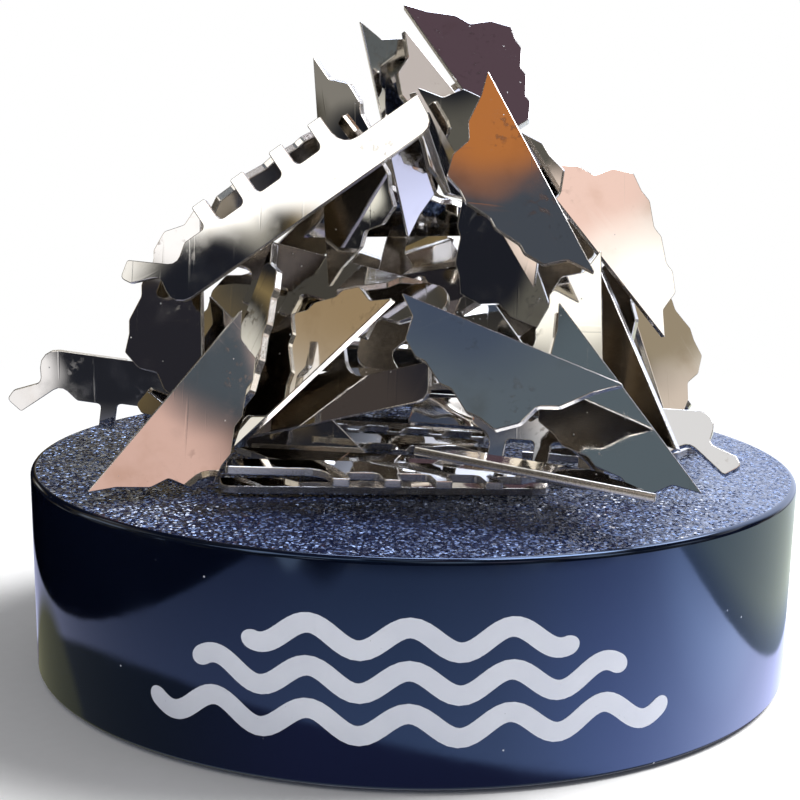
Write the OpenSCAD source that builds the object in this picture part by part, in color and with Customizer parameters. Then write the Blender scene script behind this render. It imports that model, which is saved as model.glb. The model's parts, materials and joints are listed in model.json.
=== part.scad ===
// Magnetic desk sculpture: a round moulded base with a magnet inside, and a heap of loose
// stamped steel icebergs and four-funnel steamships that cling to it and to each other.
// Millimetres, +Z up, origin at the centre of the underside, front of the base towards -Y.

/* [Base] */

// Diameter of the base across its top edge
base_d = 84; // [80:1:100]
// Height of the base from the table to its pebbled top
base_h = 22; // [18:0.5:30]
// How much the radius shrinks from the top edge down to the foot
taper = 0.4; // [0:0.1:1.5]
// Radius of the rounded top edge
rim_r = 0.6; // [0.3:0.1:1.2]
// Thickness of the moulded side wall
wall = 2.6; // [2:0.1:4]
// Thickness of the moulded top
top_t = 2.2; // [1.5:0.1:4]

/* [Inside the base] */

// Diameter of the ferrite magnet
magnet_d = 60; // [44:1:66]
// Height of the ferrite magnet
magnet_h = 8; // [5:0.5:10]
// Height of the moulded collar that centres the magnet
collar_h = 5; // [3:0.5:8]
// Thickness of that collar and of the cover's ring and ribs
rib_t = 1.6; // [1.2:0.1:2.4]
// Thickness of the steel backing disc
backing_t = 1.5; // [1:0.1:2.5]
// Thickness of the bottom cover
cover_t = 2; // [1.5:0.1:3]
// Width of the shoulder in the wall that the cover is pressed up against
shoulder = 1.2; // [0.8:0.1:1.4]
// Thickness of the soft foot pad
pad_t = 1.5; // [1:0.1:2.5]
// How far the foot pad stands proud of the wall's lower edge
pad_proud = 0.4; // [0.2:0.1:0.8]

/* [Loose pieces] */

// Length of an iceberg along its waterline
iceberg_len = 25; // [22:0.5:30]
// Thickness of the steel sheet that the pieces are stamped from
sheet_t = 0.8; // [0.6:0.1:1]

/* [Hidden] */

$fn = 96;

navy = [0.08, 0.10, 0.22];
ferrite = [0.16, 0.16, 0.17];
zinc = [0.62, 0.63, 0.64];
foam = [0.05, 0.05, 0.06];
nickel = [0.80, 0.78, 0.74];

// Radial play between pieces that drop into one another
play = 0.15;
rim_rad = base_d / 2;
foot_rad = rim_rad - taper;
cavity_rad = foot_rad - wall;
seat_rad = cavity_rad + shoulder;
cover_rad = seat_rad - play;
magnet_rad = magnet_d / 2;

// Levels inside the base, from the table up
cover_z = pad_t;
shoulder_z = cover_z + cover_t;
ceiling_z = base_h - top_t;
magnet_z = ceiling_z - magnet_h;
backing_z = magnet_z - backing_t;

// Ring on the cover that holds the backing disc up, and the ribs that brace it
rib_count = 6;
ring_rad = magnet_rad * 2 / 3;
ring_h = backing_z - shoulder_z;
rib_h = ring_h / 2;
pad_margin = 1.5;

// The dies of both pieces and the places in the heap are set out on one grid,
// on which an iceberg is 25 steps long
step = iceberg_len / 25;

// Corners of a stamped iceberg, each with its radius, from the left end of the waterline.
// The berg rises in four broken ledges and falls away more steeply on the right.
iceberg_corners = [
    [-12.5, 0, 0.1], [-10, 1.9, 0.6], [-9.5, 4.3, 0.5], [-7.5, 5.6, 0.5], [-6.4, 5.6, 0.6],
    [-3.8, 7.1, 0.5], [-2.5, 7.1, 0.6], [0, 8.6, 0.4], [1.5, 8.6, 0.6], [3.5, 9.1, 0.3],
    [5.4, 7.5, 0.6], [6.1, 5.3, 0.5], [8, 4.5, 0.6], [10.2, 1.9, 0.6], [12.5, 0, 0.1]
];

// Corners of a stamped steamship, from the stern forward along the decks and back along the keel
funnel_pitch = 5;
funnels = 4;
ship_corners = concat(
    [[-16.7, 0, 1.6], [-17.2, 3.9, 0.3], [-7.6, 3.9, 2]],
    [for (i = [0:funnels - 1], c = funnel_corners(-7.5 + i * funnel_pitch, i < funnels - 1)) c],
    [[9.2, 5.4, 0.5], [11.9, 5.4, 0.6], [13.9, 3.9, 1.2]],
    [[18, 7.5, 0.3], [19.7, 6.3, 0.5], [19.1, 5.2, 0.5], [16.1, 3.9, 0.8], [16.8, 0, 1.9]]
);

// A funnel that starts at x on its stern side, and the rounded well before the next one
function funnel_corners(x, well_follows) = concat(
    [[x, 8.1, 0.2], [x + 1.7, 8.1, 0.2]],
    well_follows ? [[x + 1.75, 5.1, 0.6], [x + 4.95, 5.1, 0.6]] : []
);

function flat(p) = [p.x, p.y];
function towards(from, to) = (to - from) / norm(to - from);

// Points of an outline whose corners [x, y, r] are rounded with arcs of radius r
function rounded(corners, arc_step = 24) = [
    for (i = [0:len(corners) - 1])
        let (
            n = len(corners),
            tip = flat(corners[i]),
            r = corners[i].z,
            before = towards(tip, flat(corners[(i + n - 1) % n])),
            after = towards(tip, flat(corners[(i + 1) % n])),
            half = acos(before * after) / 2,
            sweep = 180 - 2 * half,
            centre = tip + towards([0, 0], before + after) * r / sin(half),
            first = tip + before * r / tan(half) - centre,
            last = tip + after * r / tan(half) - centre,
            arcs = max(1, round(sweep / arc_step))
        )
        for (k = [0:arcs])
            centre + (first * sin(sweep * (1 - k / arcs)) + last * sin(sweep * k / arcs)) / sin(sweep)
];

// Flat ring or disc standing on a given level
module disc(rad, h, z, bore = 0) {
    translate([0, 0, z]) difference() {
        cylinder(r = rad, h = h);
        if (bore > 0) translate([0, 0, -1]) cylinder(r = bore, h = h + 2);
    }
}

// One piece stamped from the sheet, its outline in grid steps
module stamped(corners) {
    color(nickel)
        linear_extrude(height = sheet_t, center = true)
            polygon(step * rounded(corners));
}

module iceberg() {
    stamped(iceberg_corners);
}

module ship() {
    stamped(ship_corners);
}

// Sets a piece in the heap: grid steps from the middle of the base's top, then turns about X, Y, Z
module place(at, turn) {
    translate([0, 0, base_h]) translate(step * at) rotate(turn) children();
}

// The base

// Section of the moulded cup: tapered side, rounded top edge, magnet collar and cover shoulder
module shell_section() {
    difference() {
        union() {
            polygon([
                [0, ceiling_z], [cavity_rad, ceiling_z], [cavity_rad, pad_proud], [foot_rad, pad_proud],
                [rim_rad, base_h - rim_r], [rim_rad - rim_r, base_h], [0, base_h]
            ]);
            translate([rim_rad - rim_r, base_h - rim_r]) circle(r = rim_r);
            translate([magnet_rad + play, ceiling_z - collar_h]) square([rib_t, collar_h]);
        }
        translate([0, pad_proud - 1]) square([seat_rad, shoulder_z - pad_proud + 1]);
    }
}

module base_shell() {
    color(navy) rotate_extrude() shell_section();
}

module magnet_disc() {
    color(ferrite) disc(magnet_rad, magnet_h, magnet_z);
}

module backing_disc() {
    color(zinc) disc(magnet_rad, backing_t, backing_z);
}

// Pressed into the foot of the shell, with a ring and ribs that hold the magnet stack up
module bottom_cover() {
    rib_len = cavity_rad - pad_margin - ring_rad;
    color(navy) union() {
        disc(cover_rad, cover_t, cover_z);
        disc(ring_rad, ring_h, shoulder_z, bore = ring_rad - rib_t);
        for (i = [0:rib_count - 1])
            rotate(i * 360 / rib_count)
                translate([ring_rad - rib_t / 2, -rib_t / 2, shoulder_z])
                    cube([rib_len, rib_t, rib_h]);
    }
}

module foot_pad() {
    color(foam) disc(cover_rad - pad_margin, pad_t, 0);
}

// Front of the heap, lying on the base and leaning on it

module ship_front_flat() {
    place([-2.5, -19.5, 0.7], [0, 0, 3]) ship();
}

module ship_front_stacked() {
    place([-2, -19.5, 3.3], [180, 3, 12]) ship();
}

module iceberg_front_lip() {
    place([11, -29.25, 5], [-8, 4, -26]) iceberg();
}

module ship_front_low() {
    place([-13, -10, 5], [105, 16, 155]) ship();
}

module iceberg_front_left() {
    place([-10.5, -15, 11.5], [120, 43, 155]) iceberg();
}

module iceberg_front_centre() {
    place([9, -23.5, 17], [-125, 16, -29]) iceberg();
}

module iceberg_front_right() {
    place([22, -14.5, 10], [-63, -46, 145]) iceberg();
}

// Left side

module iceberg_left_edge() {
    place([-25, -18.5, 9.5], [-64, 42, -138]) iceberg();
}

module ship_left_side() {
    place([-25.5, 1.5, 9.5], [-90, -7, -179]) ship();
}

module iceberg_left_upright() {
    place([-23, -5, 16.5], [-155, 70, -81]) iceberg();
}

module iceberg_left_inner() {
    place([-19.5, -5, 12.5], [5, 68, -150]) iceberg();
}

module iceberg_left_low() {
    place([-18, 3, 12.5], [120, 16, 163]) iceberg();
}

module iceberg_left_upper() {
    place([-17, 8, 28.5], [21, 43, 179]) iceberg();
}

// Right side

module ship_right_low() {
    place([16.5, -2.5, 7], [-129, 0, -15]) ship();
}

module iceberg_right_inner() {
    place([23.5, -8.5, 13.5], [-118, 44, -67]) iceberg();
}

module iceberg_right_leaning() {
    place([12.75, 20.75, 18.25], [49, 42, 7]) iceberg();
}

module iceberg_right_edge() {
    place([25.5, 5.5, 13], [13, 67, -37]) iceberg();
}

module iceberg_right_shoulder() {
    place([19, -2.5, 24], [113, -50, 178]) iceberg();
}

module iceberg_right_upper() {
    place([17.5, 6, 18], [-100, -41, -31]) iceberg();
}

module iceberg_right_flat() {
    place([23, 5, 0.7], [0, 0, -153]) iceberg();
}

module iceberg_right_rear() {
    place([24.5, 18, 11], [-63, -57, -64]) iceberg();
}

// Top of the heap

module ship_upper_left() {
    place([-12, -7.5, 27], [110, 36, -177]) ship();
}

module iceberg_upper_left() {
    place([-10.5, -1, 31.5], [154, 85, 33]) iceberg();
}

module iceberg_upper_centre() {
    place([6, -4.5, 30.5], [82, 56, -24]) iceberg();
}

module iceberg_upper_right() {
    place([12.5, -9, 32.5], [-42, -54, 139]) iceberg();
}

module iceberg_peak_left() {
    place([-4, 3.5, 36], [122, 71, 47]) iceberg();
}

module iceberg_peak_behind() {
    place([6, 2, 37.5], [-118, 49, 8]) iceberg();
}

module iceberg_peak() {
    place([3.5, 3.5, 42], [151, -40, 127]) iceberg();
}

// Core, mostly hidden by the pieces around it

module ship_core_flat() {
    place([-8.5, 8.5, 0.7], [180, 0, -10]) ship();
}

module iceberg_core_flat() {
    place([-7, -8, 1.8], [0, 0, 172]) iceberg();
}

module iceberg_core_low() {
    place([-14, -2, 9.5], [-101, 42, -15]) iceberg();
}

module iceberg_core_centre() {
    place([-6.5, 2, 7.5], [176, 4, 168]) iceberg();
}

module iceberg_core_right() {
    place([12, 1.5, 25], [-119, 64, -44]) iceberg();
}

module ship_core_left() {
    place([-10, 3.5, 22], [-125, 9, -30]) ship();
}

module ship_core_right() {
    place([8, 8.5, 18], [-44, -33, 121]) ship();
}

// Back of the heap

module ship_rear_flat() {
    place([2.5, 16.5, 0.7], [0, 0, 168]) ship();
}

module ship_rear_stacked() {
    place([-1.5, 20.5, 2.6], [-168, -1, 166]) ship();
}

module ship_rear_right_low() {
    place([15.5, 27.5, 3], [71, 10, 167]) ship();
}

module ship_rear_low() {
    place([-1, 23.5, 5.5], [54, -2, 173]) ship();
}

module ship_rear_right() {
    place([15.5, 15.5, 14.5], [-43, 17, -36]) ship();
}

module ship_rear_left() {
    place([-12.5, 18, 27], [-71, -46, -11]) ship();
}

module ship_rear_upright() {
    place([-4, 21.5, 22.5], [-28, 61, -116]) ship();
}

module ship_rear_top() {
    place([-5, 15, 33.5], [14, 32, 162]) ship();
}

module iceberg_rear_left() {
    place([-15, 20.5, 8.5], [51, 34, 156]) iceberg();
}

module iceberg_rear_edge() {
    place([-6, 28.5, 11.5], [40, -60, -125]) iceberg();
}

module iceberg_rear_right() {
    place([12, 17, 21], [-74, 40, 170]) iceberg();
}

module iceberg_rear_upper() {
    place([-2, 13.5, 24], [45, 3, 162]) iceberg();
}

module iceberg_rear_inner() {
    place([19.75, -8.75, 12.25], [-177, 72, -87]) iceberg();
}

// What is drawn

base_shell();
magnet_disc();
backing_disc();
bottom_cover();
foot_pad();
ship_front_flat();
ship_front_stacked();
iceberg_front_lip();
ship_front_low();
iceberg_front_left();
iceberg_front_centre();
iceberg_front_right();
iceberg_left_edge();
ship_left_side();
iceberg_left_upright();
iceberg_left_inner();
iceberg_left_low();
iceberg_left_upper();
ship_right_low();
iceberg_right_inner();
iceberg_right_leaning();
iceberg_right_edge();
iceberg_right_shoulder();
iceberg_right_upper();
iceberg_right_flat();
iceberg_right_rear();
ship_upper_left();
iceberg_upper_left();
iceberg_upper_centre();
iceberg_upper_right();
iceberg_peak_left();
iceberg_peak_behind();
iceberg_peak();
ship_core_flat();
iceberg_core_flat();
iceberg_core_low();
iceberg_core_centre();
iceberg_core_right();
ship_core_left();
ship_core_right();
ship_rear_flat();
ship_rear_stacked();
ship_rear_right_low();
ship_rear_low();
ship_rear_right();
ship_rear_left();
ship_rear_upright();
ship_rear_top();
iceberg_rear_left();
iceberg_rear_edge();
iceberg_rear_right();
iceberg_rear_upper();
iceberg_rear_inner();
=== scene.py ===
import json
import math
import bmesh
import bpy
from mathutils import Matrix, Vector


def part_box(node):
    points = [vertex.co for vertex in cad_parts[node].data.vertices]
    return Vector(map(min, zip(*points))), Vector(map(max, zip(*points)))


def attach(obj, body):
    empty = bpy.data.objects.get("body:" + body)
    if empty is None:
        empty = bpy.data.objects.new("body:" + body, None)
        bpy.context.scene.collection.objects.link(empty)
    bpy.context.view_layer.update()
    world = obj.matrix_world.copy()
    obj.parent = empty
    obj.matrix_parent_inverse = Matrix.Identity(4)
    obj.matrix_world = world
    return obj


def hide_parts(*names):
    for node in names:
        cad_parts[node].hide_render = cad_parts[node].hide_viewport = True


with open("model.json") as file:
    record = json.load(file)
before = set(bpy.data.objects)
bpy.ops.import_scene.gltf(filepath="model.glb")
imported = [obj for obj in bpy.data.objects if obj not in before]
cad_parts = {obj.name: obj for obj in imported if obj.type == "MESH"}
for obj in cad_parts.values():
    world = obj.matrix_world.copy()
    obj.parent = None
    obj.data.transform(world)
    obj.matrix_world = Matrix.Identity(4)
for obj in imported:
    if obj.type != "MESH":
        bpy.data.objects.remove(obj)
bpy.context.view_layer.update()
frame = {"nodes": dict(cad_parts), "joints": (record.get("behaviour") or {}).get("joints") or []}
MM = 0.001


# Foot pad
# A disc of closed-cell foam sheet, die cut and glued into the recess under the base.
# It is the only piece that meets the table, so its skin is scuffed and finely pitted.

class Wire:
    """A socket of one node tree: arithmetic on it adds Math nodes, node() adds any other."""

    def __init__(self, tree, socket=None):
        self.tree, self.socket = tree, socket

    def node(self, kind, settings, inputs, out=0):
        made = self.tree.nodes.new(kind)
        for key, value in settings.items():
            if key == "stops":
                ramp = made.color_ramp.elements
                while len(ramp) < len(value):
                    ramp.new(0.5)
                for stop, (position, colour) in zip(ramp, value):
                    stop.position, stop.color = position, (*colour, 1)
            else:
                setattr(made, key, value)
        for key, value in inputs.items():
            if isinstance(value, Wire):
                self.tree.links.new(value.socket, made.inputs[key])
            else:
                made.inputs[key].default_value = value
        return Wire(self.tree, made.outputs[out])

    def maths(self, operation, first, second):
        return self.node("ShaderNodeMath", {"operation": operation}, {0: first, 1: second})

    def __add__(self, other):
        return self.maths("ADD", self, other)

    def __rsub__(self, other):
        return self.maths("SUBTRACT", other, self)

    def __mul__(self, other):
        return self.maths("MULTIPLY", self, other)

    __radd__, __rmul__ = __add__, __mul__

    def vector(self, operation, other, out=0):
        return self.node("ShaderNodeVectorMath", {"operation": operation}, {0: self, 1: other}, out)

    def along(self, direction):
        """How far this vector reaches along a direction."""
        return self.vector("DOT_PRODUCT", direction, "Value")

    def above(self, low, high):
        """0 below low, 1 above high, smooth between."""
        return self.node("ShaderNodeMapRange", {"interpolation_type": "SMOOTHSTEP"},
                         {"Value": self, "From Min": low, "From Max": high})

    def mix(self, first, second):
        """First colour where this is 0, second where it is 1."""
        pick = [c if isinstance(c, Wire) else (*c, 1) for c in (first, second)]
        return self.node("ShaderNodeMix", {"data_type": "RGBA"}, {0: self, 6: pick[0], 7: pick[1]}, 2)

    def noise(self, size, detail=2.0, stretch=(1, 1, 1), turn=(0, 0, 0)):
        """Noise on this place, with lumps of about that size in millimetres."""
        place = self.node("ShaderNodeMapping", {}, {"Vector": self, "Scale": stretch, "Rotation": turn})
        return self.node("ShaderNodeTexNoise", {},
                         {"Vector": place, "Scale": 1 / (size * MM), "Detail": detail})

    def cells(self, size, out="Distance"):
        """Cells of that size in millimetres: distance to the centre, the cell's colour or its place."""
        return self.node("ShaderNodeTexVoronoi", {}, {"Vector": self, "Scale": 1 / (size * MM)}, out)

    def bump(self, depth, under=None):
        """A bumped normal from this height, with depth in millimetres."""
        values = {"Height": self, "Distance": depth * MM, "Strength": 1.0}
        if under is not None:
            values["Normal"] = under
        return self.node("ShaderNodeBump", {}, values)


def finish(name, constants):
    """A new surface finish, and the place on the piece that its pattern is read from."""
    made = bpy.data.materials.new(name)
    made.use_nodes = True
    shader = made.node_tree.nodes["Principled BSDF"]
    for socket, value in constants.items():
        shader.inputs[socket].default_value = value
    return made, Wire(made.node_tree).node("ShaderNodeTexCoord", {}, {}, "Object")


def vary(material, **patterns):
    """Links patterns to the sockets of a finish that change over its surface."""
    shader = material.node_tree.nodes["Principled BSDF"]
    for socket, wire in patterns.items():
        material.node_tree.links.new(wire.socket, shader.inputs[socket.replace("_", " ")])
    return material


def dress(node, material):
    """Gives a CAD node's object one finish."""
    slots = frame["nodes"][node].data.materials
    slots.clear()
    slots.append(material)


FOAM_BLACK = (0.018, 0.018, 0.02)
FOAM_SCUFFED = (0.045, 0.045, 0.047)

foam, spot = finish("closed_cell_foam", {"Specular IOR Level": 0.2})
pores = spot.cells(0.45)
scuffs = spot.noise(9, 4).above(0.45, 0.7)
vary(foam,
     Base_Color=scuffs.mix(FOAM_BLACK, FOAM_SCUFFED),
     Roughness=0.8 + 0.15 * scuffs,
     Normal=pores.bump(0.12))
dress("foot_pad", foam)


# Bottom cover
# An injection-moulded disc with a ring and ribs inside, pressed up against the shoulder of the
# shell. Its outside has a spark-eroded satin face, seen as a thin ring round the foot pad.

SATIN_NAVY = (0.010, 0.013, 0.034)
SATIN_FLOW = (0.016, 0.020, 0.046)

satin, spot = finish("satin_moulding", {"Specular IOR Level": 0.45})
grain = spot.noise(0.12, 2)
flow = spot.noise(14, 2)
vary(satin,
     Base_Color=flow.mix(SATIN_NAVY, SATIN_FLOW),
     Roughness=0.42 + 0.14 * grain,
     Normal=grain.bump(0.02))
dress("bottom_cover", satin)


# Magnet and backing disc
# A pressed and sintered ferrite disc, ground flat on both faces, with a zinc-plated steel disc
# behind it that sends its field up through the top. Both are closed in by the shell and the cover.

FERRITE_DARK = (0.035, 0.035, 0.038)
FERRITE_GROUND = (0.075, 0.074, 0.076)
ZINC_HAZED = (0.46, 0.48, 0.51)
ZINC_BRIGHT = (0.62, 0.63, 0.65)

ferrite, spot = finish("ground_ferrite", {"Specular IOR Level": 0.4})
chips = spot.cells(1.6)
grind = spot.noise(1.2, 3, stretch=(1, 14, 1))
vary(ferrite,
     Base_Color=grind.mix(FERRITE_DARK, FERRITE_GROUND),
     Roughness=0.5 + 0.2 * grind,
     Normal=chips.above(0.0, 0.12).bump(0.05))
dress("magnet_disc", ferrite)

zinc, spot = finish("zinc_plate", {"Metallic": 1.0})
spangle = spot.cells(3.5, out="Color")
haze = spot.noise(5, 4)
vary(zinc,
     Base_Color=haze.mix(ZINC_HAZED, ZINC_BRIGHT),
     Roughness=0.28 + 0.2 * haze,
     Normal=spangle.bump(0.01))
dress("backing_disc", zinc)


# Base shell
# A cup moulded in navy plastic, open below: a polished side with a slight taper, a small rounded
# top edge and a flat top with a fine pebbled grain. The cover and the foot pad close it.

shell_low, shell_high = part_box("base_shell")
_, pad_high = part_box("foot_pad")
RIM_RAD = 42 * MM
FOOT_RAD = RIM_RAD - 0.4 * MM
SEAT_RAD = FOOT_RAD - 1.4 * MM
CAVITY_RAD = FOOT_RAD - 2.6 * MM
SHOULDER_Z = pad_high.z + 2 * MM
CEILING_Z = shell_high.z - 2.2 * MM
RIM_ROUND = 0.6 * MM
FOOT_ROUND = 0.35 * MM
TURN_STEPS = 256
ROUND_STEPS = 6
NEAR = 0.01 * MM
WELD = 0.0001 * MM
FLAT = 0.999
SIDE_NAVY = (0.0017, 0.0030, 0.0092)
SIDE_HANDLED = (0.0021, 0.0035, 0.0106)
LINT_GREY = (0.55, 0.57, 0.62)
# Painted light: the top's navy is several times lighter than the side's navy of the same plastic,
# standing in for the light that falls on the top. The worn patches on it are random wear.
TOP_LIT_NAVY = (0.0055, 0.0100, 0.042)
TOP_LIT_WORN = (0.0070, 0.0125, 0.050)
GRAIN_GLINT = (0.15, 0.21, 0.41)
GRAIN_MM = 0.24
GRAIN_STRETCH = (1, 0.7, 1)
GRAIN_SLOPE = 1.2


def new_piece(name, shape, *materials):
    """Makes an object of a finished bmesh, at the origin."""
    mesh = bpy.data.meshes.new(name)
    shape.to_mesh(mesh)
    shape.free()
    for material in materials:
        mesh.materials.append(material)
    piece = bpy.data.objects.new(name, mesh)
    bpy.context.scene.collection.objects.link(piece)
    return piece


def turned(profile):
    """A solid of revolution about Z of a closed section given as radius and height."""
    shape = bmesh.new()
    points = [shape.verts.new((radius, 0, height)) for radius, height in profile]
    edges = [shape.edges.new(pair) for pair in zip(points, points[1:])]
    bmesh.ops.spin(shape, geom=points + edges, cent=(0, 0, 0), axis=(0, 0, 1), angle=math.tau,
                   steps=TURN_STEPS, use_merge=True)
    bmesh.ops.remove_doubles(shape, verts=shape.verts, dist=WELD)
    bmesh.ops.recalc_face_normals(shape, faces=shape.faces)
    return shape


cup = turned([(0, CEILING_Z), (CAVITY_RAD, CEILING_Z), (CAVITY_RAD, SHOULDER_Z), (SEAT_RAD, SHOULDER_Z),
              (SEAT_RAD, shell_low.z), (FOOT_RAD, shell_low.z), (RIM_RAD, shell_high.z),
              (0, shell_high.z)])


def ring_edges(shape, radius, height):
    """The edges that run round the axis at that radius and height."""
    def on_ring(vert):
        return abs(vert.co.xy.length - radius) < NEAR and abs(vert.co.z - height) < NEAR
    return [edge for edge in shape.edges if all(on_ring(vert) for vert in edge.verts)]


ROUNDED = ((RIM_RAD, shell_high.z, RIM_ROUND), (FOOT_RAD, shell_low.z, FOOT_ROUND))
for radius, height, rounding in ROUNDED:
    bmesh.ops.bevel(cup, geom=ring_edges(cup, radius, height), offset=rounding, segments=ROUND_STEPS,
                    profile=0.5, affect="EDGES", material=-1)
for face in cup.faces:
    on_top = face.normal.z > FLAT and face.calc_center_median().z > shell_high.z - NEAR
    face.material_index = 1 if on_top else 0
    face.smooth = not on_top

# The blue specular tint is a painted reflection colour: it stands in for the bluish light that the side
# mirrors.
gloss, spot = finish("navy_gloss", {"IOR": 1.6, "Specular IOR Level": 0.75,
                                    "Specular Tint": (0.42, 0.62, 1.0, 1)})
peel = spot.noise(2.4, 2)
lint = spot.cells(2.6).above(0.05, 0.03) * spot.noise(7, 2).above(0.52, 0.60)
rubs = spot.noise(1.0, 3, stretch=(0.25, 0.25, 3)).above(0.62, 0.8)
handled = spot.noise(16, 3).above(0.4, 0.7)
vary(gloss,
     Base_Color=lint.mix(handled.mix(SIDE_NAVY, SIDE_HANDLED), LINT_GREY),
     Roughness=0.05 + 0.04 * handled + 0.06 * rubs + 0.4 * lint,
     Normal=peel.bump(0.003))

# The blue specular tint is a painted reflection colour: it stands in for the bluish light that the
# top's grains mirror.
pebble, spot = finish("navy_pebble", {"IOR": 1.6, "Specular IOR Level": 0.75,
                                      "Specular Tint": (0.48, 0.66, 1.0, 1)})
worn = spot.noise(12, 3).above(0.45, 0.7)
# Each grain is a small flat facet with a lean of its own.
laid = spot.node("ShaderNodeMapping", {}, {"Vector": spot, "Scale": GRAIN_STRETCH})
lean = laid.cells(GRAIN_MM, "Color")
centre = laid.cells(GRAIN_MM, "Position")
offset = laid.vector("SUBTRACT", centre)
slope = lean.vector("SUBTRACT", (0.5, 0.5, 0.5))
facet = offset.along(slope)
# Painted glints: a few grains, picked at random, are coloured a light glinting blue.
painted_glints = lean.along((0, 0, 1)).above(0.74, 0.93)
# The top's base colour is painted lighter than the side, as painted light from above.
vary(pebble,
     Base_Color=painted_glints.mix(worn.mix(TOP_LIT_NAVY, TOP_LIT_WORN), GRAIN_GLINT),
     Roughness=0.13 + 0.06 * worn,
     Normal=facet.bump(GRAIN_SLOPE / MM))

shell = new_piece("moulded_shell", cup, gloss, pebble)
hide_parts("base_shell")
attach(shell, "base")


# Printed waves
# Three rows of plain waves, pad printed in white ink on the front of the side after moulding.
# The ink lies a few hundredths of a millimetre proud, with pinholes and a slightly uneven coat.

INK_PROUD = 0.03 * MM
INK_T = 0.8 * INK_PROUD
WAVE_LEN = 9.2 * MM
WAVE_HEIGHT = 1.15 * MM
STROKE = 1.9 * MM
WAVE_ROWS = ((14.6 * MM, 3), (10.6 * MM, 4), (6.6 * MM, 5))
ROW_SPREAD = 1.12
STEPS_PER_WAVE = 24
STEPS_ACROSS = 4
INK_WELD = 0.001 * MM
INK_THIN = (0.62, 0.65, 0.74)
INK_FULL = (0.76, 0.79, 0.87)
PINHOLE_NAVY = (0.05, 0.06, 0.10)


def side_radius(height):
    """Radius of the tapered side at a height."""
    share = (height - shell_low.z) / (shell_high.z - shell_low.z)
    return FOOT_RAD + (RIM_RAD - FOOT_RAD) * share


ink_shape = bmesh.new()
for row_z, waves in WAVE_ROWS:
    half_len = waves * WAVE_LEN / 2 * ROW_SPREAD
    grid = bmesh.ops.create_grid(ink_shape, x_segments=waves * STEPS_PER_WAVE, y_segments=STEPS_ACROSS,
                                 size=1)
    for vert in grid["verts"]:
        # The steps crowd towards the round ends of the row.
        along = half_len * (1.5 * vert.co.x - 0.5 * vert.co.x ** 3)
        phase = math.tau * along / WAVE_LEN
        rise = -WAVE_HEIGHT * math.tau / WAVE_LEN * math.sin(phase)
        end_gap = min(1.0, (half_len - abs(along)) / (STROKE / 2))
        round_end = math.sqrt(max(0.0, 1 - (1 - end_gap) ** 2))
        width = vert.co.y * STROKE / 2 * round_end / math.hypot(1, rise)
        angle = (along - width * rise) / RIM_RAD
        z = row_z + WAVE_HEIGHT * math.cos(phase) + width
        radius = side_radius(z) + INK_PROUD
        vert.co = (radius * math.sin(angle), -radius * math.cos(angle), z)
bmesh.ops.remove_doubles(ink_shape, verts=ink_shape.verts, dist=INK_WELD)
for face in ink_shape.faces:
    face.normal_update()
    if face.normal.dot(face.calc_center_median() * Vector((1, 1, 0))) < 0:
        face.normal_flip()
bmesh.ops.solidify(ink_shape, geom=ink_shape.faces, thickness=INK_T)

ink, spot = finish("white_ink", {"Specular IOR Level": 0.4})
pinholes = spot.cells(0.9).above(0.06, 0.02) * spot.noise(4, 2).above(0.5, 0.62)
density = spot.noise(5, 4)
vary(ink,
     Base_Color=pinholes.mix(density.mix(INK_THIN, INK_FULL), PINHOLE_NAVY),
     Roughness=0.36 + 0.2 * density,
     Normal=spot.noise(0.25, 2).bump(0.006))
print_band = new_piece("printed_waves", ink_shape, ink)
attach(print_band, "base")


# Loose icebergs and steamships
# Blanked from nickel-plated sheet steel: mirror faces with rubs, fine scratches and dust from
# handling, and edges that the punch sheared and rolled over slightly. The faces that the outer plates
# turn inwards get a darker, duller nickel, which is painted shade for the inside of the heap. Only the
# magnet holds them.

DIE_ROLL = 0.09 * MM
ROLL_STEPS = 2
OUTER_RAD = 15 * MM
LEAST_LEAN = 0.15
FACE, EDGE, INWARD_SHADED = 0, 1, 2
NICKEL_BRIGHT = (0.80, 0.77, 0.72)
NICKEL_TARNISHED = (0.66, 0.60, 0.52)
STAIN_BROWN = (0.22, 0.18, 0.15)
DUST_GREY = (0.70, 0.70, 0.70)
EDGE_DRAGGED = (0.60, 0.55, 0.49)
EDGE_BRIGHT = (0.90, 0.86, 0.80)
# The two darkest nickels are painted shade for the faces turned in towards the heap's middle.
SHADE_PAINTED_DARK = (0.13, 0.105, 0.075)
SHADE_PAINTED_LIGHT = (0.22, 0.185, 0.14)

nickel, spot = finish("nickel_face", {"Metallic": 1.0})
tarnish = spot.noise(7, 4).above(0.55, 0.8)
rub = spot.noise(3.2, 4).above(0.48, 0.72)
scratch = (spot.noise(0.5, 1, stretch=(1, 0.03, 0.03), turn=(0.4, 0.7, 0.3)).above(0.67, 0.73)
           + spot.noise(0.5, 1, stretch=(0.03, 1, 0.03), turn=(0.2, -0.5, 0.9)).above(0.68, 0.74))
stain = spot.noise(0.7, 3).above(0.52, 0.66) * spot.noise(6, 2).above(0.56, 0.68)
dust = spot.cells(1.5).above(0.075, 0.045) * spot.noise(5, 2).above(0.50, 0.58)
sheet_wave = spot.noise(9, 1)
clean = tarnish.mix(NICKEL_BRIGHT, NICKEL_TARNISHED)
vary(nickel,
     Base_Color=dust.mix((0.35 * stain).mix(clean, STAIN_BROWN), DUST_GREY),
     Metallic=1 - 0.8 * dust,
     Roughness=0.03 + 0.06 * rub + 0.05 * scratch + 0.12 * stain + 0.5 * dust,
     Normal=sheet_wave.bump(0.05, scratch.bump(0.001)))

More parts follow.
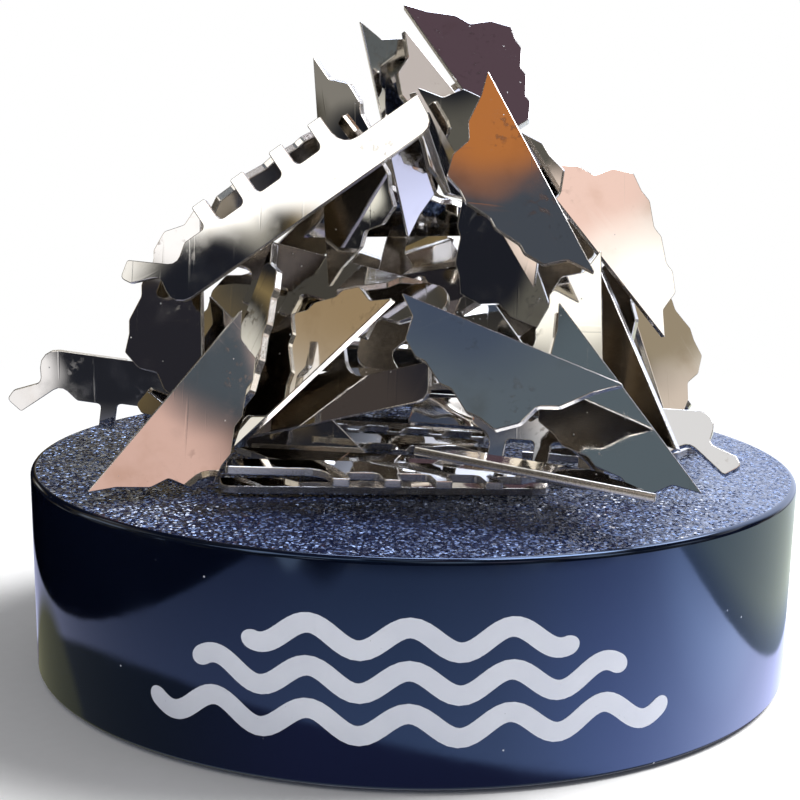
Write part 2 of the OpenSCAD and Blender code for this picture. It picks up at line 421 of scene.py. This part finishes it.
sheared, spot = finish("nickel_edge", {"Metallic": 0.93})
drag = spot.noise(0.5, 3, stretch=(3, 3, 1))
vary(sheared,
     Base_Color=drag.mix(EDGE_DRAGGED, EDGE_BRIGHT),
     Roughness=0.14 + 0.12 * drag,
     Normal=drag.bump(0.008))

# Painted shade: a dark, duller nickel for the faces that the outer plates turn inwards.
inward_shaded_nickel, spot = finish("nickel_inward_painted_shade", {"Metallic": 1.0})
mill = spot.noise(0.6, 3, stretch=(1, 0.15, 1))
vary(inward_shaded_nickel,
     Base_Color=mill.mix(SHADE_PAINTED_DARK, SHADE_PAINTED_LIGHT),
     Roughness=0.16 + 0.10 * mill,
     Normal=mill.bump(0.004))


def blanked(node):
    """A copy of a CAD plate with its flat faces whole again and the punch's roll on their borders."""
    plate = bmesh.new()
    plate.from_mesh(node.data)
    bmesh.ops.remove_doubles(plate, verts=plate.verts, dist=WELD)
    bmesh.ops.dissolve_limit(plate, angle_limit=math.radians(1), verts=plate.verts, edges=plate.edges)
    flats = sorted(plate.faces, key=lambda face: face.calc_area())[-2:]
    facing = flats[0].normal.copy()
    borders = {edge for face in flats for edge in face.edges}
    bmesh.ops.bevel(plate, geom=list(borders), offset=DIE_ROLL, segments=ROLL_STEPS, profile=0.5,
                    affect="EDGES", clamp_overlap=True, material=-1)
    middle = sum((vert.co for vert in plate.verts), Vector()) / len(plate.verts)
    outward = Vector((middle.x, middle.y, 0))
    for face in plate.faces:
        turned_in = face.normal.dot(outward.normalized()) < -LEAST_LEAN
        if abs(face.normal.dot(facing)) < FLAT:
            face.material_index = EDGE
        # Faces turned in on the outer plates take the painted-shade nickel.
        elif turned_in and outward.length > OUTER_RAD:
            face.material_index = INWARD_SHADED
        else:
            face.material_index = FACE
    return plate


for joint in frame["joints"]:
    name = joint["child"]
    plate = new_piece(name + "_plate", blanked(frame["nodes"][name]), nickel, sheared, inward_shaded_nickel)
    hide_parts(name)
    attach(plate, name)


# Table and backdrop
# A plain white table under the object. It fades to the white of the backdrop away from the
# object, so that only the soft shadow round the base shows.

FLOOR_HALF = 3.0
FADE_FROM, FADE_TO = 0.07, 0.22
PAPER_DULL = (0.86, 0.86, 0.86)
PAPER_WHITE = (0.90, 0.90, 0.90)


def cover_with(material, shader):
    """Makes a shader the surface of a material."""
    tree = material.node_tree
    tree.links.new(shader.socket, tree.nodes["Material Output"].inputs["Surface"])


floor_shape = bmesh.new()
bmesh.ops.create_grid(floor_shape, x_segments=1, y_segments=1, size=FLOOR_HALF)
paper, spot = finish("white_paper", {"Roughness": 0.9, "Specular IOR Level": 0.0})
fibre = spot.noise(1.5, 3)
vary(paper, Base_Color=fibre.mix(PAPER_DULL, PAPER_WHITE))
lit = Wire(paper.node_tree, paper.node_tree.nodes["Principled BSDF"].outputs[0])
white = spot.node("ShaderNodeEmission", {}, {"Color": (1, 1, 1, 1), "Strength": 1.0})
reach = spot.node("ShaderNodeVectorMath", {"operation": "LENGTH"}, {0: spot}, "Value")
faded = reach.above(FADE_FROM, FADE_TO)
cover_with(paper, spot.node("ShaderNodeMixShader", {}, {0: faded, 1: lit, 2: white}))
floor = new_piece("table", floor_shape, paper)
floor.visible_glossy = False


# Light tent
# A round tent that only the polished metal and plastic see: folded dark cloth, hung with a bright
# card at the front left and with warm, pink and grey cards for the plates to mirror. Its skirt
# below them is what the side of the base mirrors.

TENT_RAD = 160 * MM
TENT_CENTRE = Vector((0, 0, 40 * MM))
TENT_STEPS = 64
FOLD_SCALE, FOLD_DETAIL = 2.6, 1.5
CLOTH_STOPS = (
    (0.36, (0.008, 0.009, 0.014)), (0.49, (0.02, 0.02, 0.022)), (0.54, (0.24, 0.18, 0.085)),
    (0.58, (0.03, 0.03, 0.028)), (0.655, (0.90, 0.88, 0.80)), (0.75, (1.2, 1.2, 1.2)),
)

# The skirt's colours run from left to right. Its limits are shares of the tent's radius, measured
# upwards, across or along a fold's own direction. Each pair is where a change begins and ends.
SKIRT_STOPS = (
    (0.00, (0.40, 0.42, 0.58)), (0.21, (0.50, 0.52, 0.75)), (0.35, (0.60, 0.66, 0.90)),
    (0.50, (0.64, 0.72, 0.98)), (0.655, (0.82, 0.89, 1.2)), (0.725, (1.0, 1.07, 1.5)),
    (0.79, (1.15, 1.25, 1.85)), (0.845, (1.3, 1.38, 2.1)), (0.89, (1.5, 1.62, 2.4)),
    (0.92, (1.8, 1.95, 2.8)), (0.95, (2.5, 2.8, 3.8)),
)
SKIRT_TOP = (-0.225, -0.275)
SKIRT_BASE, SKIRT_GAIN = -0.012, 2.3
HEM = (-0.550, -0.536)
HEM_TILT = 0.085
HEM_ACROSS = (-0.9, -0.3)
HEM_LEFT, HEM_RIGHT = (0.09, 0.10, 0.10), (0.17, 0.15, 0.29)
LEFT_FOLD = Vector((-0.304, 0.094, 0.948))
LEFT_FOLD_EDGE = (-0.132, -0.124)
LEFT_FOLD_ACROSS = (-0.45, -0.60)
RIGHT_FOLD = Vector((0.457, 0.326, 0.828))
RIGHT_FOLD_EDGE = (0.080, 0.088)
RIGHT_FOLD_ACROSS = (0.35, 0.45)
RIGHT_FOLD_FADE = (0.084, 0.174)
RIGHT_FOLD_NEAR, RIGHT_FOLD_FAR = (0.44, 0.54, 0.70), (0.90, 1.0, 0.88)
GROUND_TOP = (-0.64, -0.70)
GROUND_GREY = (0.45, 0.45, 0.48)

# Each card has its azimuth from the front towards the right, its elevation, its radius and its soft
# edge, all in degrees, and the colour it shows. A later card covers an earlier one.
TENT_CARDS = (
    ("roof_card", 0, 90, 24, 8, (0.108, 0.072, 0.095)),
    ("rear_top_card", 172, 49, 17, 4, (8.0, 9.2, 12.0)),
    ("left_card", -95, 25, 10, 6, (0.37, 0.27, 0.156)),
    ("left_shade", -60, 11, 9, 4, (0.062, 0.052, 0.05)),
    ("upper_left_shade", -71, 46, 12, 4, (0.065, 0.062, 0.055)),
    ("left_low_card", -125, -50, 24, 1.5, (0.2, 0.2, 0.13)),
    ("front_shade", -5, 3, 14, 4, (0.03, 0.032, 0.045)),
    ("front_shade_right", 16, 2, 12, 4, (0.035, 0.033, 0.035)),
    ("front_shade_low", -21, -8, 8, 2, (0.018, 0.02, 0.028)),
    ("left_low_glint", -29, -12, 3.4, 0.8, (1.1, 1.1, 1.15)),
    ("bright_card", -40, 36.5, 12, 1.5, (1.9, 1.9, 1.9)),
    ("bright_card_right", -25, 37.5, 8.5, 1.5, (1.9, 1.9, 1.9)),
    ("dim_card", -30, 16, 7, 1.5, (0.12, 0.118, 0.105)),
    ("bright_card_shade", -33, 21, 5, 1.2, (0.014, 0.016, 0.024)),
    ("warm_card", -24, 7.5, 3.5, 2, (1.2, 1.02, 0.92)),
    ("left_dark", -51, 18, 6.5, 2, (0.022, 0.022, 0.03)),
    ("left_glint", -54, 28, 4, 1.5, (1.3, 1.3, 1.35)),
    ("grey_card", -12, 22, 9, 3, (0.112, 0.148, 0.18)),
    ("upper_grey", -31, 50, 12, 2.5, (0.115, 0.148, 0.185)),
    ("upper_dark", -39, 56, 6, 4, (0.065, 0.09, 0.15)),
    ("mid_card", -66, 1, 3.5, 2, (0.26, 0.25, 0.23)),
    ("mid_shade", -63.5, -2, 2.6, 1.0, (0.012, 0.014, 0.02)),
    ("mid_glint", -64, -6, 1.4, 0.7, (1.1, 1.1, 1.0)),
    ("mid_dim", -67.5, 0, 1.2, 0.8, (0.05, 0.045, 0.03)),
    ("top_card", -8, 66, 9, 2.5, (0.88, 0.9, 0.95)),
    ("charcoal_card", 12, 46, 8, 3, (0.07, 0.084, 0.11)),
    ("orange_card", 10, 55, 5, 2, (0.54, 0.20, 0.06)),
    ("pale_card", 12, 30, 5, 2, (1.6, 1.58, 1.45)),
    ("pink_card", 25, 18, 7, 2.5, (0.8, 0.54, 0.48)),
    ("slate_card", 35, 28, 6.5, 2.5, (0.085, 0.105, 0.13)),
    ("blush_card", 44, 27, 6, 3, (1.1, 0.8, 0.72)),
    ("white_card", 49, 15, 7, 3.5, (1.7, 1.65, 1.6)),
    ("peak_card", 64, 41, 5, 3, (0.65, 0.6, 0.6)),
    ("low_card", 30, -7, 4, 2, (0.12, 0.135, 0.145)),
    ("gold_card", 95, 18, 4, 2, (0.38, 0.32, 0.23)),
    ("cream_card", 92, 10, 4, 2, (0.78, 0.68, 0.6)),
    ("rim_card", 82, 64, 15, 2, (9.0, 9.4, 10.5)),
    ("rear_card", 145, 20, 34, 10, (1.25, 1.38, 1.75)),
    ("rim_card_right", 112, 42, 10, 2, (6.0, 6.3, 7.2)),
)

tent_shape = bmesh.new()
bmesh.ops.create_uvsphere(tent_shape, u_segments=TENT_STEPS, v_segments=TENT_STEPS // 2,
                          radius=TENT_RAD, matrix=Matrix.Translation(TENT_CENTRE))
cloth, spot = finish("tent_cloth", {})
cloth.node_tree.nodes.remove(cloth.node_tree.nodes["Principled BSDF"])
offset = spot.vector("SUBTRACT", TENT_CENTRE)
toward = spot.node("ShaderNodeVectorMath", {"operation": "NORMALIZE"}, {0: offset})
across = toward.along((1, 0, 0))
upward = toward.along((0, 0, 1))
folds = toward.node("ShaderNodeTexNoise", {},
                    {"Vector": toward, "Scale": FOLD_SCALE, "Detail": FOLD_DETAIL})
shown = toward.node("ShaderNodeValToRGB", {"stops": CLOTH_STOPS}, {"Fac": folds})

skirt = toward.node("ShaderNodeValToRGB", {"stops": SKIRT_STOPS}, {"Fac": 0.5 * across + 0.5})
skirt = toward.node("ShaderNodeVectorMath", {"operation": "SCALE"},
                    {0: skirt, "Scale": SKIRT_BASE - SKIRT_GAIN * upward})
hem = across.above(*HEM_ACROSS).mix(HEM_LEFT, HEM_RIGHT)
skirt = (upward + HEM_TILT * across).above(*HEM).mix(hem, skirt)
left_fold = toward.along(LEFT_FOLD).above(*LEFT_FOLD_EDGE) * across.above(*LEFT_FOLD_ACROSS)
skirt = left_fold.mix(skirt, (0, 0, 0))
beyond = toward.along(RIGHT_FOLD)
right_shade = beyond.above(*RIGHT_FOLD_FADE).mix(RIGHT_FOLD_NEAR, RIGHT_FOLD_FAR)
right_fold = beyond.above(*RIGHT_FOLD_EDGE) * across.above(*RIGHT_FOLD_ACROSS)
skirt = right_fold.mix(skirt, right_shade)
skirt = upward.above(*GROUND_TOP).mix(skirt, GROUND_GREY)
shown = upward.above(*SKIRT_TOP).mix(shown, skirt)

for card, azimuth, elevation, radius, edge, colour in TENT_CARDS:
    a, e = math.radians(azimuth), math.radians(elevation)
    aim = Vector((math.sin(a) * math.cos(e), -math.cos(a) * math.cos(e), math.sin(e)))
    outer, inner = math.radians(radius + edge), math.radians(max(radius - edge, 0))
    shown = toward.along(aim).above(math.cos(outer), math.cos(inner)).mix(shown, colour)
cover_with(cloth, spot.node("ShaderNodeEmission", {}, {"Color": shown, "Strength": 1.0}))
tent = new_piece("light_tent", tent_shape, cloth)
for face in tent.data.polygons:
    face.use_smooth = True
tent.visible_camera = tent.visible_diffuse = tent.visible_shadow = tent.visible_transmission = False


# Lamps and surroundings
# A soft lamp above the right and a weaker, broader one at the front left light the matt surfaces.
# The surroundings are white to the camera and to reflections, and an even grey to all else.

LAMP_AIM = Vector((0, 0, 30 * MM))
EVEN_GREY = (0.33, 0.33, 0.34)
WHITE = (1, 1, 1)


def lamp(name, place, size, power):
    """A square soft lamp aimed at the middle of the object."""
    light = bpy.data.lights.new(name, "AREA")
    light.size, light.energy = size, power
    made = bpy.data.objects.new(name, light)
    made.location = place
    made.rotation_mode = "QUATERNION"
    made.rotation_quaternion = (LAMP_AIM - Vector(place)).to_track_quat("-Z", "Y")
    made.visible_glossy = False
    bpy.context.scene.collection.objects.link(made)


lamp("key_lamp", (0.42, 0.15, 0.52), size=0.35, power=7.5)
lamp("fill_lamp", (-0.35, -0.45, 0.60), size=0.5, power=0.7)

world = bpy.data.worlds.new("studio")
bpy.context.scene.world = world
world.use_nodes = True
air = Wire(world.node_tree)
seen = air.node("ShaderNodeLightPath", {}, {}, "Is Camera Ray")
for ray in ("Is Glossy Ray", "Is Transmission Ray"):
    seen = seen + air.node("ShaderNodeLightPath", {}, {}, ray)
surround = world.node_tree.nodes["Background"]
world.node_tree.links.new(seen.mix(EVEN_GREY, WHITE).socket, surround.inputs["Color"])


# Camera
# Close in front and a little above, turned about one degree, as the object was photographed. The
# small shift keeps the optical axis where the rim and foot of the base put it in the picture.

LENS, SENSOR = 73.28, 36
SHIFT_X, SHIFT_Y = -0.0188, 0.0004
CLIP_NEAR, CLIP_FAR = 0.01, 20
CAMERA_AT = Vector((0, -179.086, 60.525)) * MM
LOOK_DOWN = 0.17663
ROLL = 0.01972

eye = bpy.data.cameras.new("camera")
eye.lens, eye.sensor_width = LENS, SENSOR
eye.shift_x, eye.shift_y = SHIFT_X, SHIFT_Y
eye.clip_start, eye.clip_end = CLIP_NEAR, CLIP_FAR
camera = bpy.data.objects.new("camera", eye)
camera.matrix_world = (Matrix.Translation(CAMERA_AT) @ Matrix.Rotation(math.pi / 2 - LOOK_DOWN, 4, "X")
                       @ Matrix.Rotation(ROLL, 4, "Z"))
bpy.context.scene.collection.objects.link(camera)
bpy.context.scene.camera = camera
bpy.context.scene.view_settings.view_transform = "Standard"
